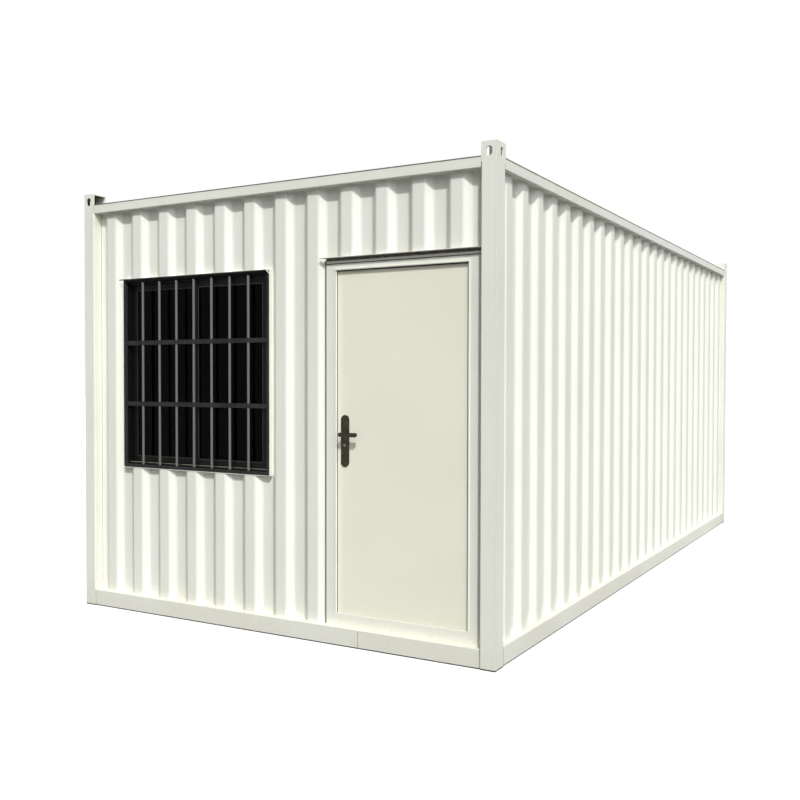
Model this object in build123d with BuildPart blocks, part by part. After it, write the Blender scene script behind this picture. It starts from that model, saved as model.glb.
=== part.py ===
# A one-room container house: a welded steel frame with open corner fittings, walls of folded
# steel sheet, a lined inside, and a barred sliding window and a steel door at one end.
# Millimetres, +Z up, the door end towards -Y, the origin on the ground under the middle.
import os
from math import atan2, ceil, tan

from build123d import *

os.makedirs("parts", exist_ok=True)

# Whole house, over the corner posts and fittings
width = 3000
length = 6000
height = 2740

# Shared allowances
overrun = 5
seam = 0.3

# Corner posts, closed L sections of folded plate
post_face_width = 90
post_side_width = 110
post_wall = 4
post_bend = 8
post_base = 6

# Corner fittings on the posts, with lifting holes in their two outer faces and one open side
fitting_height = 103
fitting_rise = 74
fitting_wall = 8
fitting_hole_width = 36
fitting_hole_height = 52
side_hole_width = 30
side_hole_shift = 6

# Rails between the posts
rail_setback = 3
rail_depth = 77
rail_wall = 4
bottom_rail_height = 105
top_rail_height = 56

# Folded wall sheet
sheet_setback = 35
sheet_gauge = 2
wave_depth = 32
wave_crest = 78
wave_valley = 77
wave_run = 38
wave_bend = 3.5
wave_margin = 40
front_wave_shift = -16
side_wave_shift = 18

# Floor
joist_count = 9
joist_width = 50
joist_height = 100
deck_gauge = 18

# Lining and ceiling boards
lining_gauge = 9
lining_joint = 3
lining_board_width = 1200
ceiling_gauge = 9

# Roof sheet with stamped ribs
roof_gauge = 2
roof_border = 200
roof_rib_height = 18
roof_rib_width = 110
roof_rib_pitch = 230
roof_rib_slope = 45

# Window opening, its steel surround and its sliding sashes
window_from_left = 323
window_width_share = 0.58986
window_sill = 935
over_window_height = 446
surround_gauge = 3
surround_lip = 2
window_frame_setback = 60
window_frame_face = 34
window_frame_depth = 44
sash_face = 36
sash_depth = 16
sash_track = 3
sash_overlap = 40
glass_gauge = 5

# Window grille, round bars through two flat bars in a welded frame
grille_frame_face = 20
grille_frame_depth = 18
grille_corner = 12
grille_bar_count = 7
grille_bar_diameter = 16
grille_bar_sides = 12
grille_flat_count = 2
grille_flat_height = 28
grille_flat_gauge = 5

# Door opening and frame
door_from_right = 182
door_to_window = 464
door_sill_top = 175
over_door_height = 406
jamb_face = 77
head_face = 54
frame_setback = 50
stop_gauge = 9
stop_gap = 5
leaf_gauge = 45
leaf_lap = 12
leaf_gap = 7
flashing_gauge = 2
flashing_gap = 17
flashing_leg = 60
closure_lip = 2
closure_tail = 20

# Door lock and lever handles
lock_backset = 52
lock_height = 1200
lock_plate_width = 54
lock_plate_length = 296
lock_plate_gauge = 5
lock_plate_drop = 38
spindle_diameter = 9
spindle_clearance = 0.5
neck_diameter = 20
neck_length = 40
neck_gap = 1
lever_reach = 96
lever_height = 24
lever_gauge = 14
key_drop = 62
key_diameter = 17
key_clearance = 0.2
key_proud = 4

# Lift-off hinges on the inner face of the door
hinge_count = 3
hinge_end = 260
hinge_axis_gap = 3
hinge_axis_rise = 9
hinge_radius = 7
hinge_leaf_width = 38
hinge_leaf_gauge = 3
hinge_half = 50
hinge_pin_diameter = 8
hinge_clearance = 0.3

# Levels and lines that follow from the sizes
half_width = width / 2
half_length = length / 2
inner_x = half_width - post_face_width
inner_y = half_length - post_side_width
fitting_bottom = height - fitting_height
top_rail_top = height - fitting_rise
top_rail_bottom = top_rail_top - top_rail_height
wall_height = top_rail_bottom - bottom_rail_height
wall_back = sheet_setback + wave_depth + sheet_gauge
wave_pitch = 2 * wave_run + wave_crest + wave_valley
wave_pinch = sheet_gauge * tan(atan2(wave_depth, wave_run) / 2)
rail_inner = rail_setback + rail_depth
lining_inner = rail_inner + lining_gauge
deck_edge = wall_back + post_bend
deck_top = bottom_rail_height + deck_gauge
ceiling_bottom = top_rail_bottom - ceiling_gauge

# Window lines: the window and the door share what the posts and plain wall leave of the width
openings_width = width - window_from_left - door_to_window - door_from_right
window_width = openings_width * window_width_share
window_left = window_from_left - half_width
window_right = window_left + window_width
window_top = top_rail_bottom - over_window_height
window_height = window_top - window_sill
window_front = sheet_setback - surround_lip - half_length

# Door lines, with the depths counted from the outside as y
door_right = half_width - door_from_right
door_left = window_right + door_to_window
frame_left = door_left - jamb_face
door_sheet_lower = top_rail_bottom - over_door_height
frame_top = door_sheet_lower - flashing_gap
door_head = frame_top - head_face
frame_front = frame_setback - half_length
stop_back = frame_front + stop_gauge
leaf_front = stop_back + stop_gap
leaf_back = leaf_front + leaf_gauge
leaf_left = door_left - leaf_lap
leaf_right = door_right + leaf_lap
leaf_bottom = door_sill_top - leaf_lap
leaf_top = door_head + leaf_lap
rebate_left = leaf_left - leaf_gap
rebate_right = leaf_right + leaf_gap
rebate_bottom = leaf_bottom - leaf_gap
rebate_top = leaf_top + leaf_gap
lock_x = door_left + lock_backset
hinge_x = leaf_right + hinge_axis_gap
hinge_y = leaf_back + hinge_axis_rise


def write(builder, label):
    builder.part.label = label
    export_step(builder.part, f"parts/{label}.step")


# The same piece again on the other side of a middle plane.
def write_mirrored(builder, label, *planes):
    with BuildPart() as copy:
        turned = builder.part
        for plane in planes:
            turned = turned.mirror(plane)
        add(turned)
    write(copy, label)


# A box between two opposite corners.
def slab(low, high, mode=Mode.ADD):
    size = Vector(*high) - Vector(*low)
    with Locations(low):
        Box(size.X, size.Y, size.Z, align=(Align.MIN, Align.MIN, Align.MIN), mode=mode)


# Four bars round an opening in the front wall: the stiles stand between head and sill.
def four_bars(left, right, bottom, top, front, back, face):
    slab((left, front, bottom), (right, back, bottom + face))
    slab((left, front, top - face), (right, back, top))
    for side in (left, right - face):
        slab((side, front, bottom + face + seam), (side + face, back, top - face - seam))


# Corner posts
post_corners = [
    (half_width, -half_length),
    (half_width, -inner_y),
    (half_width - wall_back, -inner_y),
    (half_width - wall_back, wall_back - half_length),
    (inner_x, wall_back - half_length),
    (inner_x, -half_length),
]

with BuildPart() as post_front_right:
    with BuildSketch():
        with BuildLine():
            FilletPolyline(*post_corners, radius=post_bend, close=True)
        make_face()
    extrude(amount=fitting_bottom)
    with BuildSketch(Plane.XY.offset(post_base)):
        with BuildLine():
            Polyline(*post_corners, close=True)
        make_face()
        offset(amount=-post_wall, kind=Kind.INTERSECTION, mode=Mode.REPLACE)
    extrude(amount=fitting_bottom - post_base, mode=Mode.SUBTRACT)
write(post_front_right, "post_front_right")
write_mirrored(post_front_right, "post_front_left", Plane.YZ)
write_mirrored(post_front_right, "post_back_right", Plane.XZ)
write_mirrored(post_front_right, "post_back_left", Plane.YZ, Plane.XZ)

# Corner fittings, boxes of thick plate that are open towards the opposite fitting
fitting_middle = (half_width - post_face_width / 2, post_side_width / 2 - half_length)
fitting_hole_z = fitting_bottom + fitting_height / 2
fitting_open_z = top_rail_top + roof_gauge

with BuildPart() as fitting_front_right:
    with BuildSketch(Plane.XY.offset(fitting_bottom)):
        with Locations(fitting_middle):
            Rectangle(post_face_width, post_side_width)
    extrude(amount=fitting_height)
    outer_edges = fitting_front_right.edges().filter_by(Axis.Z).sort_by(Axis.X)[-2:]
    fillet(outer_edges.sort_by(Axis.Y)[0], radius=post_bend)
    slab(
        (inner_x + fitting_wall, fitting_wall - half_length, fitting_bottom + fitting_wall),
        (half_width - fitting_wall, -inner_y - fitting_wall, height - fitting_wall),
        mode=Mode.SUBTRACT,
    )
    slab(
        (inner_x - overrun, fitting_wall - half_length, fitting_open_z),
        (half_width - fitting_wall, -inner_y - fitting_wall, height - fitting_wall),
        mode=Mode.SUBTRACT,
    )
    with BuildSketch(Plane.XZ.offset(half_length)):
        with Locations((fitting_middle[0], fitting_hole_z)):
            SlotOverall(fitting_hole_height, fitting_hole_width, rotation=90)
    extrude(amount=-2 * fitting_wall, mode=Mode.SUBTRACT)
    with BuildSketch(Plane.YZ.offset(half_width)):
        with Locations((fitting_middle[1] + side_hole_shift, fitting_hole_z)):
            SlotOverall(fitting_hole_height, side_hole_width, rotation=90)
    extrude(amount=-2 * fitting_wall, mode=Mode.SUBTRACT)
write(fitting_front_right, "corner_fitting_front_right")
write_mirrored(fitting_front_right, "corner_fitting_front_left", Plane.YZ)
write_mirrored(fitting_front_right, "corner_fitting_back_right", Plane.XZ)
write_mirrored(fitting_front_right, "corner_fitting_back_left", Plane.YZ, Plane.XZ)

# Rails, plain hollow tubes between the posts
rail_middle = rail_setback + rail_depth / 2

for level, bottom, tall in (
    ("bottom", 0, bottom_rail_height),
    ("top", top_rail_bottom, top_rail_height),
):
    with BuildPart() as end_rail:
        with BuildSketch(Plane.YZ):
            with Locations((rail_middle - half_length, bottom + tall / 2)):
                Rectangle(rail_depth, tall)
                Rectangle(rail_depth - 2 * rail_wall, tall - 2 * rail_wall, mode=Mode.SUBTRACT)
        extrude(amount=inner_x, both=True)
    write(end_rail, f"{level}_rail_front")
    write_mirrored(end_rail, f"{level}_rail_back", Plane.XZ)

    with BuildPart() as side_rail:
        with BuildSketch(Plane.XZ):
            with Locations((half_width - rail_middle, bottom + tall / 2)):
                Rectangle(rail_depth, tall)
                Rectangle(rail_depth - 2 * rail_wall, tall - 2 * rail_wall, mode=Mode.SUBTRACT)
        extrude(amount=inner_y, both=True)
    write(side_rail, f"{level}_rail_right")
    write_mirrored(side_rail, f"{level}_rail_left", Plane.YZ)

# Floor
joist_pitch = (length - 2 * rail_inner) / (joist_count + 1)
joist_middle_z = bottom_rail_height - joist_height / 2

with BuildPart() as floor_joists:
    with BuildSketch(Plane.YZ):
        with Locations((0, joist_middle_z)):
            with GridLocations(joist_pitch, joist_height, joist_count, 1):
                Rectangle(joist_width, joist_height)
    extrude(amount=half_width - rail_inner, both=True)
write(floor_joists, "floor_joists")

with BuildPart() as floor_deck:
    with BuildSketch(Plane.XY.offset(bottom_rail_height)):
        Rectangle(width - 2 * deck_edge, length - 2 * deck_edge)
    extrude(amount=deck_gauge)
    slab(
        (frame_left, frame_front, bottom_rail_height - overrun),
        (half_width, leaf_back, deck_top + overrun),
        mode=Mode.SUBTRACT,
    )
write(floor_deck, "floor_deck")

# Ceiling board, up against the top rails
with BuildPart() as ceiling:
    with BuildSketch(Plane.XY.offset(ceiling_bottom)):
        Rectangle(width - 2 * deck_edge, length - 2 * deck_edge)
    extrude(amount=ceiling_gauge)
write(ceiling, "ceiling")

# Roof sheet, with hollow stamped ribs across it and notches round the corner fittings
roof_rib_length = width - 2 * roof_border
roof_rib_count = int((length - 2 * roof_border) // roof_rib_pitch)

with BuildPart() as roof_sheet:
    with BuildSketch(Plane.XY.offset(top_rail_top)):
        Rectangle(width - 2 * rail_setback, length - 2 * rail_setback)
        with GridLocations(width, length, 2, 2):
            Rectangle(2 * post_face_width, 2 * post_side_width, mode=Mode.SUBTRACT)
    extrude(amount=roof_gauge)
    with BuildSketch(Plane.XY.offset(top_rail_top)):
        with GridLocations(roof_rib_length, roof_rib_pitch, 1, roof_rib_count):
            Rectangle(roof_rib_length, roof_rib_width)
    extrude(amount=roof_rib_height, taper=roof_rib_slope)
    with BuildSketch(Plane.XY.offset(top_rail_top)):
        with GridLocations(roof_rib_length, roof_rib_pitch, 1, roof_rib_count):
            Rectangle(roof_rib_length - 2 * roof_gauge, roof_rib_width - 2 * roof_gauge)
    extrude(amount=roof_rib_height - roof_gauge, taper=roof_rib_slope, mode=Mode.SUBTRACT)
write(roof_sheet, "roof_sheet")


# One face of a folded sheet as corners along its span: valley, rise, crest, fall and so on.
def wave_corners(span, shift, gauge, pinch):
    count = int((span - 2 * wave_margin + wave_valley) // wave_pitch)
    start = (wave_valley - count * wave_pitch) / 2 + shift
    crest = sheet_setback + gauge
    valley = crest + wave_depth
    corners = [(-span / 2, valley)]
    for step in range(count):
        rise = start + step * wave_pitch
        fall = rise + wave_run + wave_crest
        corners.append((rise + pinch, valley))
        corners.append((rise + wave_run + pinch, crest))
        corners.append((fall - pinch, crest))
        corners.append((fall + wave_run - pinch, valley))
    corners.append((span / 2, valley))
    return corners


# A folded sheet between two posts, from the bottom rail to the top rail. Its bends are eased
# on their outer side and sharp on the inner one.
def folded_sheet(plane, span, shift):
    with BuildPart() as sheet:
        with BuildSketch(plane):
            with BuildLine():
                outside = Polyline(*wave_corners(span, shift, 0, 0))
                inside = Polyline(*wave_corners(span, shift, sheet_gauge, wave_pinch))
                Line(outside @ 0, inside @ 0)
                Line(outside @ 1, inside @ 1)
            face = make_face()
            levels = face.vertices().group_by(Axis.Y)
            chamfer(levels[0] + levels[-1].sort_by(Axis.X)[1:-1], length=wave_bend)
        extrude(amount=wall_height)
    return sheet


# Long walls and back wall
right_plane = Plane((half_width, 0, bottom_rail_height), x_dir=(0, 1, 0), z_dir=(0, 0, 1))
front_plane = Plane((0, -half_length, bottom_rail_height), x_dir=(1, 0, 0), z_dir=(0, 0, 1))

right_wall = folded_sheet(right_plane, 2 * inner_y, side_wave_shift)
write(right_wall, "right_wall")
write_mirrored(right_wall, "left_wall", Plane.YZ)
front_sheet = folded_sheet(front_plane, 2 * inner_x, front_wave_shift)
write_mirrored(front_sheet, "back_wall", Plane.XZ)

# Front wall, the same sheet cut into panels beside, over and under its two openings
sheet_lower = bottom_rail_height
sheet_upper = top_rail_bottom

for label, left, right, bottom, top in (
    ("front_wall_left", -inner_x, window_left, sheet_lower, sheet_upper),
    ("front_wall_under_window", window_left, window_right, sheet_lower, window_sill),
    ("front_wall_over_window", window_left, window_right, window_top, sheet_upper),
    ("front_wall_between", window_right, frame_left, sheet_lower, sheet_upper),
    ("front_wall_over_door", frame_left, inner_x, door_sheet_lower, sheet_upper),
):
    with BuildPart() as front_panel:
        add(front_sheet.part)
        slab((left, -half_length, bottom), (right, wall_back - half_length, top), mode=Mode.INTERSECT)
    write(front_panel, label)

# Lining boards on the rails' inner faces, all round the room
lining_y = half_length - lining_inner
lining_x = half_width - lining_inner
board_back = half_length - rail_inner

with BuildPart() as wall_lining:
    for left, right, bottom, top in (
        (-lining_x, window_left - lining_joint, deck_top, ceiling_bottom),
        (window_left, window_right, deck_top, window_sill),
        (window_left, window_right, window_top, ceiling_bottom),
        (window_right + lining_joint, frame_left, deck_top, ceiling_bottom),
        (frame_left + lining_joint, lining_x, frame_top, ceiling_bottom),
    ):
        slab((left, -board_back, bottom), (right, -lining_y, top))

    back_count = ceil(2 * lining_x / lining_board_width)
    back_board = (2 * lining_x - (back_count - 1) * lining_joint) / back_count
    for step in range(back_count):
        left = -lining_x + step * (back_board + lining_joint)
        slab((left, lining_y, deck_top), (left + back_board, board_back, ceiling_bottom))

    side_count = ceil(2 * board_back / lining_board_width)
    side_board = (2 * board_back - (side_count - 1) * lining_joint) / side_count
    for step in range(side_count):
        near = -board_back + step * (side_board + lining_joint)
        far = near + side_board
        slab((lining_x + seam, near, deck_top), (lining_x + lining_gauge, far, ceiling_bottom))
        slab((-lining_x - lining_gauge, near, deck_top), (-lining_x - seam, far, ceiling_bottom))
write(wall_lining, "wall_lining")

# Window surround, four plates that line the cut in the wall
with BuildPart() as window_surround:
    four_bars(
        window_left, window_right, window_sill, window_top,
        window_front, -lining_y, surround_gauge,
    )
write(window_surround, "window_surround")

# Window frame and its two sashes, one behind the other
glazing_left = window_left + surround_gauge
glazing_right = window_right - surround_gauge
glazing_bottom = window_sill + surround_gauge
glazing_top = window_top - surround_gauge
window_frame_front = window_frame_setback - half_length

with BuildPart() as window_frame:
    four_bars(
        glazing_left, glazing_right, glazing_bottom, glazing_top,
        window_frame_front, window_frame_front + window_frame_depth, window_frame_face,
    )
write(window_frame, "window_frame")

sash_left = glazing_left + window_frame_face
sash_right = glazing_right - window_frame_face
sash_bottom = glazing_bottom + window_frame_face
sash_top = glazing_top - window_frame_face
sash_middle = (sash_left + sash_right) / 2
outer_sash_front = window_frame_front + sash_track
inner_sash_front = outer_sash_front + sash_depth + sash_track
sashes = [
    (sash_left, sash_middle + sash_overlap / 2, inner_sash_front),
    (sash_middle - sash_overlap / 2, sash_right, outer_sash_front),
]

with BuildPart() as window_sashes:
    for left, right, front in sashes:
        four_bars(left, right, sash_bottom, sash_top, front, front + sash_depth, sash_face)
write(window_sashes, "window_sashes")

with BuildPart() as window_glass:
    for left, right, front in sashes:
        pane_front = front + (sash_depth - glass_gauge) / 2
        slab(
            (left + sash_face, pane_front, sash_bottom + sash_face),
            (right - sash_face, pane_front + glass_gauge, sash_top - sash_face),
        )
write(window_glass, "window_glass")

# Window grille, flush with the front of the surround
grille_width = window_width - 2 * surround_gauge
grille_height = window_height - 2 * surround_gauge
grille_middle = ((window_left + window_right) / 2, (window_sill + window_top) / 2)
grille_inside_width = grille_width - 2 * grille_frame_face
grille_inside_height = grille_height - 2 * grille_frame_face
grille_bar_pitch = grille_inside_width / (grille_bar_count + 1)
grille_flat_pitch = grille_inside_height / (grille_flat_count + 1)
grille_bar_y = window_front + grille_frame_depth / 2

with BuildPart() as window_grille:
    with BuildSketch(Plane.XZ.offset(-window_front)):
        with Locations(grille_middle):
            RectangleRounded(grille_width, grille_height, grille_corner)
            Rectangle(grille_inside_width, grille_inside_height, mode=Mode.SUBTRACT)
    extrude(amount=-grille_frame_depth)
    with BuildSketch(Plane.XY.offset(grille_middle[1])):
        with Locations((grille_middle[0], grille_bar_y)):
            with GridLocations(grille_bar_pitch, grille_bar_pitch, grille_bar_count, 1):
                RegularPolygon(grille_bar_diameter / 2, grille_bar_sides)
    extrude(amount=(grille_inside_height + grille_frame_face) / 2, both=True)
    with BuildSketch(Plane.XZ.offset(-grille_bar_y)):
        with Locations(grille_middle):
            with GridLocations(grille_flat_pitch, grille_flat_pitch, 1, grille_flat_count):
                Rectangle(grille_inside_width + grille_frame_face, grille_flat_height)
    extrude(amount=grille_flat_gauge / 2, both=True)
write(window_grille, "window_grille")

# Door frame: jambs with a stop in front of the leaf, then head and sill between them
for label, outer, stop, rebate in (
    ("door_jamb_left", frame_left, door_left, rebate_left),
    ("door_jamb_right", inner_x, door_right, rebate_right),
):
    with BuildPart() as jamb:
        with BuildSketch(Plane.XY.offset(bottom_rail_height)):
            with BuildLine():
                Polyline(
                    (outer, frame_front),
                    (stop, frame_front),
                    (stop, stop_back),
                    (rebate, stop_back),
                    (rebate, leaf_back),
                    (outer, leaf_back),
                    close=True,
                )
            make_face()
        extrude(amount=frame_top - bottom_rail_height)
    write(jamb, label)

with BuildPart() as door_head_bar:
    slab((door_left, frame_front, door_head), (door_right, stop_back, frame_top))
    slab((rebate_left, stop_back, rebate_top), (rebate_right, leaf_back, frame_top))
write(door_head_bar, "door_head")

with BuildPart() as door_sill_bar:
    slab((door_left, frame_front, bottom_rail_height), (door_right, stop_back, door_sill_top))
    slab((rebate_left, stop_back, bottom_rail_height), (rebate_right, leaf_back, rebate_bottom))
write(door_sill_bar, "door_sill")

# Flashing over the door: an angle on the head, up behind the sheet, and a closure strip that
# gives the sheet a straight lower edge, with its lip in front of the crests
flashing_back = wall_back - half_length
crest_front = sheet_setback - half_length
closure_front = crest_front - closure_lip - flashing_gauge

with BuildPart() as door_flashing:
    slab(
        (frame_left, frame_front, frame_top),
        (inner_x, flashing_back + flashing_gauge, frame_top + flashing_gauge),
    )
    slab(
        (frame_left, flashing_back, frame_top),
        (inner_x, flashing_back + flashing_gauge, frame_top + flashing_leg),
    )
    slab(
        (frame_left, closure_front, door_sheet_lower - flashing_gauge),
        (inner_x, flashing_back + flashing_gauge, door_sheet_lower),
    )
    slab(
        (frame_left - closure_tail, closure_front, door_sheet_lower - flashing_gauge),
        (inner_x, crest_front - closure_lip, door_sheet_lower + closure_lip),
    )
write(door_flashing, "door_flashing")

# Door leaf, bored for the spindle and the key cylinder
lock_holes = [
    (lock_height, spindle_diameter / 2 + spindle_clearance),
    (lock_height - key_drop, key_diameter / 2 + key_clearance),
]


# Bores through the door at the lock, along Y.
def bore_lock(front, back):
    for level, radius in lock_holes:
        with BuildSketch(Plane.XZ.offset(-front)) as bore:
            with Locations((lock_x, level)):
                Circle(radius)
        extrude(bore.sketch, amount=front - back, mode=Mode.SUBTRACT)


with BuildPart() as door_leaf:
    slab((leaf_left, leaf_front, leaf_bottom), (leaf_right, leaf_back, leaf_top))
    bore_lock(leaf_front, leaf_back)
write(door_leaf, "door_leaf")

# Lock plates, one on each face of the leaf
with BuildPart() as lock_plates:
    for front in (leaf_front - lock_plate_gauge, leaf_back):
        with BuildSketch(Plane.XZ.offset(-front)):
            with Locations((lock_x, lock_height - lock_plate_drop)):
                SlotOverall(lock_plate_length, lock_plate_width, rotation=90)
        extrude(amount=-lock_plate_gauge)
    bore_lock(leaf_front - lock_plate_gauge, leaf_back + lock_plate_gauge)
write(lock_plates, "lock_plates")

with BuildPart() as key_cylinder:
    key_front = leaf_front - lock_plate_gauge - key_proud
    key_back = leaf_back + lock_plate_gauge + key_proud
    with BuildSketch(Plane.XZ.offset(-key_front)):
        with Locations((lock_x, lock_height - key_drop)):
            Circle(key_diameter / 2)
    extrude(amount=key_front - key_back)
write(key_cylinder, "key_cylinder")

# Lever handles outside and inside, fixed to one spindle
neck_front = leaf_front - lock_plate_gauge - neck_gap
neck_back = leaf_back + lock_plate_gauge + neck_gap

with BuildPart() as lever_handles:
    with BuildSketch(Plane.XZ.offset(-neck_front)):
        with Locations((lock_x, lock_height)):
            Circle(spindle_diameter / 2)
    extrude(amount=neck_front - neck_back)
    for neck, away in ((neck_front, 1), (neck_back, -1)):
        with BuildSketch(Plane.XZ.offset(-neck)):
            with Locations((lock_x, lock_height)):
                Circle(neck_diameter / 2)
        extrude(amount=away * neck_length)
        with BuildSketch(Plane.XZ.offset(away * neck_length - neck)):
            with Locations((lock_x + lever_reach / 2, lock_height)):
                SlotCenterToCenter(lever_reach, lever_height)
        extrude(amount=away * lever_gauge)
write(lever_handles, "lever_handles")

# Hinges: the lower halves carry the pins and stay on the jamb, the upper halves lift off
hinge_span = leaf_top - leaf_bottom - 2 * hinge_end
hinge_levels = [
    leaf_bottom + hinge_end + step * hinge_span / (hinge_count - 1)
    for step in range(hinge_count)
]

with BuildPart() as hinge_frame_leaves:
    for level in hinge_levels:
        with BuildSketch(Plane.XY.offset(level - hinge_half)):
            with Locations((hinge_x, hinge_y)):
                Circle(hinge_radius)
        extrude(amount=hinge_half)
        slab(
            (hinge_x, leaf_back, level - hinge_half),
            (hinge_x + hinge_leaf_width, leaf_back + hinge_leaf_gauge, level),
        )
        with BuildSketch(Plane.XY.offset(level)):
            with Locations((hinge_x, hinge_y)):
                Circle(hinge_pin_diameter / 2)
        extrude(amount=hinge_half)
write(hinge_frame_leaves, "hinge_frame_leaves")

with BuildPart() as hinge_door_leaves:
    for level in hinge_levels:
        lower = level + hinge_clearance
        with BuildSketch(Plane.XY.offset(lower)):
            with Locations((hinge_x, hinge_y)):
                Circle(hinge_radius)
        extrude(amount=hinge_half)
        slab(
            (hinge_x - hinge_leaf_width, leaf_back, lower),
            (hinge_x, leaf_back + hinge_leaf_gauge, lower + hinge_half),
        )
        with BuildSketch(Plane.XY.offset(lower)):
            with Locations((hinge_x, hinge_y)):
                Circle(hinge_pin_diameter / 2 + hinge_clearance)
        extrude(amount=hinge_half, mode=Mode.SUBTRACT)
write(hinge_door_leaves, "hinge_door_leaves")
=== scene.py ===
from math import pi, radians, sin

import bmesh
import bpy
from mathutils import Matrix, Vector


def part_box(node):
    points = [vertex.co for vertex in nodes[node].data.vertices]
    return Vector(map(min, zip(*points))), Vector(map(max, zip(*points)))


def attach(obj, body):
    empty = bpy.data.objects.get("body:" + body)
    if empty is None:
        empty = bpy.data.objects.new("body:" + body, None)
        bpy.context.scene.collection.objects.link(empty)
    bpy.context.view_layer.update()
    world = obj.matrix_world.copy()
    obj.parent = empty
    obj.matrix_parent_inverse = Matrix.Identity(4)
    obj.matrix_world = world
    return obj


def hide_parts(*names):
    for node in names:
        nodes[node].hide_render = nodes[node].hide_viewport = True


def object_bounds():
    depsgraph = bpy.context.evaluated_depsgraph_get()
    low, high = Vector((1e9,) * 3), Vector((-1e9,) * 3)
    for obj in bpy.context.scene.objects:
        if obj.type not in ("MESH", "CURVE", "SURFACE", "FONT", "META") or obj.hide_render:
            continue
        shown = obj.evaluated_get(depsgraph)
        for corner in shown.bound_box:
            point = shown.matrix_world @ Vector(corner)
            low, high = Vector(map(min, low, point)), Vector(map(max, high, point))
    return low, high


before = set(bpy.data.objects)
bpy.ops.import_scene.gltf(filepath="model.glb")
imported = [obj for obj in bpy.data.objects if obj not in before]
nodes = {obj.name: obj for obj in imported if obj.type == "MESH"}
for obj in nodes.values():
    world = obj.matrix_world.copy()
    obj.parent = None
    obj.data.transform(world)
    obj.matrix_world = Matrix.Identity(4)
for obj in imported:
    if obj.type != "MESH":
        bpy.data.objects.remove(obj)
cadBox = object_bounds()
print("frame loaded")


# colours are written as they look on screen, 0 to 255
def tone(red, green, blue):
    return tuple(((c / 255 + 0.055) / 1.055) ** 2.4 for c in (red, green, blue)) + (1.0,)


# an output socket that can be used in sums
class Wire:
    def __init__(self, look, socket):
        self.look = look
        self.socket = socket

    def math(self, operation, left, right):
        return self.look.node("ShaderNodeMath", {"operation": operation}, {0: left, 1: right})

    def __add__(self, other):
        return self.math("ADD", self, other)

    def __radd__(self, other):
        return self.math("ADD", other, self)

    def __sub__(self, other):
        return self.math("SUBTRACT", self, other)

    def __mul__(self, other):
        return self.math("MULTIPLY", self, other)

    def __rmul__(self, other):
        return self.math("MULTIPLY", other, self)


# a material, with short ways to add the nodes used here
class Look:
    def __init__(self, name):
        self.material = bpy.data.materials.new(name)
        self.material.use_nodes = True
        self.tree = self.material.node_tree
        self.shader = self.tree.nodes["Principled BSDF"]
        self.place = self.node("ShaderNodeTexCoord", {}, {}, "Object")
        self.height = self.node("ShaderNodeSeparateXYZ", {}, {0: self.place}, "Z")

    def plug(self, socket, value):
        if isinstance(value, Wire):
            self.tree.links.new(value.socket, socket)
        else:
            socket.default_value = value

    def node(self, kind, settings, sockets, out=0):
        made = self.tree.nodes.new(kind)
        for key, value in settings.items():
            setattr(made, key, value)
        for key, value in sockets.items():
            self.plug(made.inputs[key], value)
        return Wire(self, made.outputs[out])

    def noise(self, scale, detail=3.0, stretch=(1.0, 1.0, 1.0)):
        place = self.node("ShaderNodeMapping", {}, {"Vector": self.place, "Scale": stretch})
        return self.node("ShaderNodeTexNoise", {}, {"Vector": place, "Scale": scale, "Detail": detail}, "Fac")

    def ramp(self, value, low, high, start=0.0, end=1.0):
        settings = {"interpolation_type": "SMOOTHSTEP"}
        sockets = {"Value": value, "From Min": low, "From Max": high, "To Min": start, "To Max": end}
        return self.node("ShaderNodeMapRange", settings, sockets, "Result")

    def mix(self, factor, first, second):
        return self.node("ShaderNodeMix", {"data_type": "RGBA"}, {0: factor, 6: first, 7: second}, 2)

    def shades(self, factor, values):
        return self.mix(factor, tone(*values["colour"]), tone(*values["second"]))

    def between(self, mask, value, low, high, soft):
        return mask * self.ramp(value, low - soft, low + soft) * self.ramp(value, high + soft, high - soft)

    def bump(self, height, strength, distance, under=None):
        sockets = {"Height": height, "Strength": strength, "Distance": distance}
        if under is not None:
            sockets["Normal"] = under
        return self.node("ShaderNodeBump", {}, sockets, "Normal")

    def set(self, **sockets):
        for key, value in sockets.items():
            self.plug(self.shader.inputs[key.replace("_", " ")], value)
        return self


maskSoft = 0.0002


# 1 inside a box given by the distances from the middle of the house; used to mark where shade is painted
def hollowMask(look, box):
    mask = 1.0
    for axis, (low, high) in box.items():
        part = look.node("ShaderNodeSeparateXYZ", {}, {0: look.place}, axis)
        away = look.node("ShaderNodeMath", {"operation": "ABSOLUTE"}, {0: part})
        mask = look.between(mask, away, low, high, maskSoft)
    return mask


sprayValues = {
    "cloud": 1.7, "grit": 42.0, "streak": 9.0, "streakStretch": (1.0, 1.0, 0.06),
    "dustGrit": 0.8, "dustCloud": 0.5, "dustRamp": (0.18, 0.85), "streakRamp": (0.52, 0.78), "toneRamp": (0.3, 0.7),
    "sideSoft": 0.1, "farCorner": (2.0, 4.0), "bendShadeLevel": 0.75, "bendShadeGrit": 0.3,
    "footShadowGrit": 0.004, "footShadowRamp": (0.0110, 0.0080),
    "ripple": 2.6, "rippleStrength": 0.10, "peel": 260.0, "peelStrength": 0.06, "peelDeep": 0.0006,
    "roughRamp": (0.25, 0.75), "roughCloud": 0.10, "roughDust": 0.22,
}
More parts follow.
